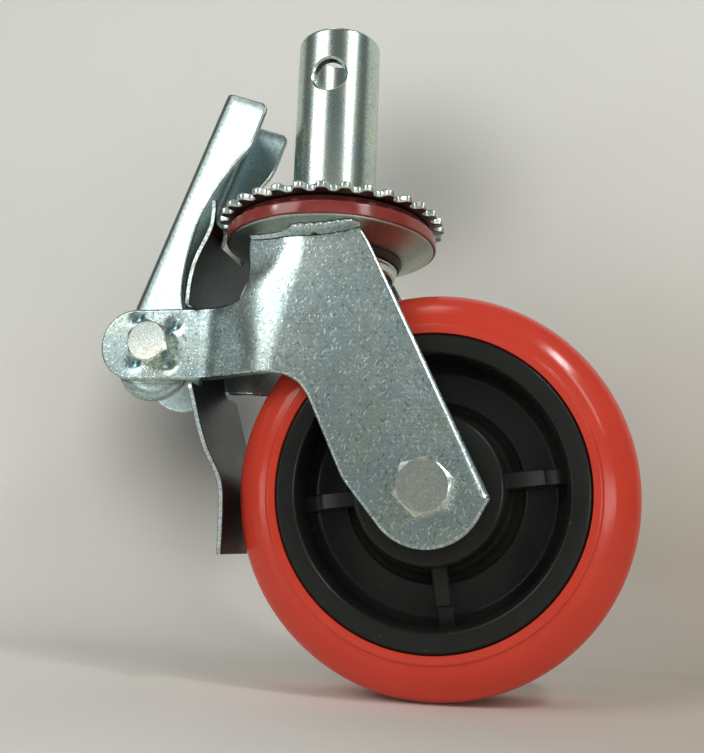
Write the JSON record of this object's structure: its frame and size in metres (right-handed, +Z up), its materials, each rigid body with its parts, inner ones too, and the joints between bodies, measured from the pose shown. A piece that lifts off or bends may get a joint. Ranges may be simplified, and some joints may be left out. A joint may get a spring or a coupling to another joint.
{
  "type": "braked scaffold swivel caster",
  "caption": "Braked swivel caster: hollow spigot with cross hole, toothed swivel plate, pressed fork, red tyre on black core, lever and bowed brake bar.",
  "frame": {"origin": "on the swivel axis at the shoulder, the toothed plate's top face that the leg rests on", "axes": "+Z up along the spigot, +X towards the wheel's offset, Y along the axle"},
  "size_m": [0.2106, 0.0949, 0.2669],
  "materials": {
    "zinc_plated_steel": "zinc plated",
    "red_polyurethane": "gloss",
    "red_plastic": "gloss",
    "black_nylon": "satin",
    "black_rubber": "matte"
  },
  "bodies": {
    "spigot_body": {"spigot": "zinc_plated_steel", "toothed_plate": "zinc_plated_steel", "kingpin": "zinc_plated_steel", "upper_race": "zinc_plated_steel", "upper_ball_ring": "zinc_plated_steel", "lower_ball_ring": "zinc_plated_steel", "lower_cup": "zinc_plated_steel", "kingpin_nut": "zinc_plated_steel"},
    "fork": {"fork_head": "zinc_plated_steel", "dust_ring": "red_plastic", "swivel_seal": "black_rubber", "leg_near": "zinc_plated_steel", "leg_far": "zinc_plated_steel", "leg_weld_near": "zinc_plated_steel", "leg_weld_far": "zinc_plated_steel", "axle_bolt": "zinc_plated_steel", "axle_nut": "zinc_plated_steel", "axle_sleeve": "zinc_plated_steel", "brake_bolt": "zinc_plated_steel", "brake_nut": "zinc_plated_steel", "brake_sleeve": "zinc_plated_steel"},
    "wheel": {"tyre": "red_polyurethane", "wheel_core": "black_nylon", "bearing_near": "zinc_plated_steel", "bearing_far": "zinc_plated_steel"},
    "lever": {"brake_lever": "zinc_plated_steel"},
    "bar": {"brake_bar": "zinc_plated_steel"}
  },
  "joints": [
    {"name": "swivel", "type": "hinge", "parent": "spigot_body", "child": "fork", "pos_m": [0, 0, 0], "axis": [0, 0, 1], "continuous": true},
    {"name": "wheel_spin", "type": "hinge", "parent": "fork", "child": "wheel", "pos_m": [0.0458, 0, -0.1109], "axis": [0, 1, 0], "continuous": true},
    {"name": "lever_turn", "type": "hinge", "parent": "fork", "child": "lever", "pos_m": [-0.067, 0, -0.055], "axis": [0, -1, 0], "range_deg": [0, 90]},
    {"name": "bar_press", "type": "slide", "parent": "fork", "child": "bar", "axis": [1, 0, 0], "range_m": [0, 0.001]}
  ],
  "couplings": [
    {"joint": "bar_press", "follows": "lever_turn", "m_per_rad": 0.000636}
  ]
}
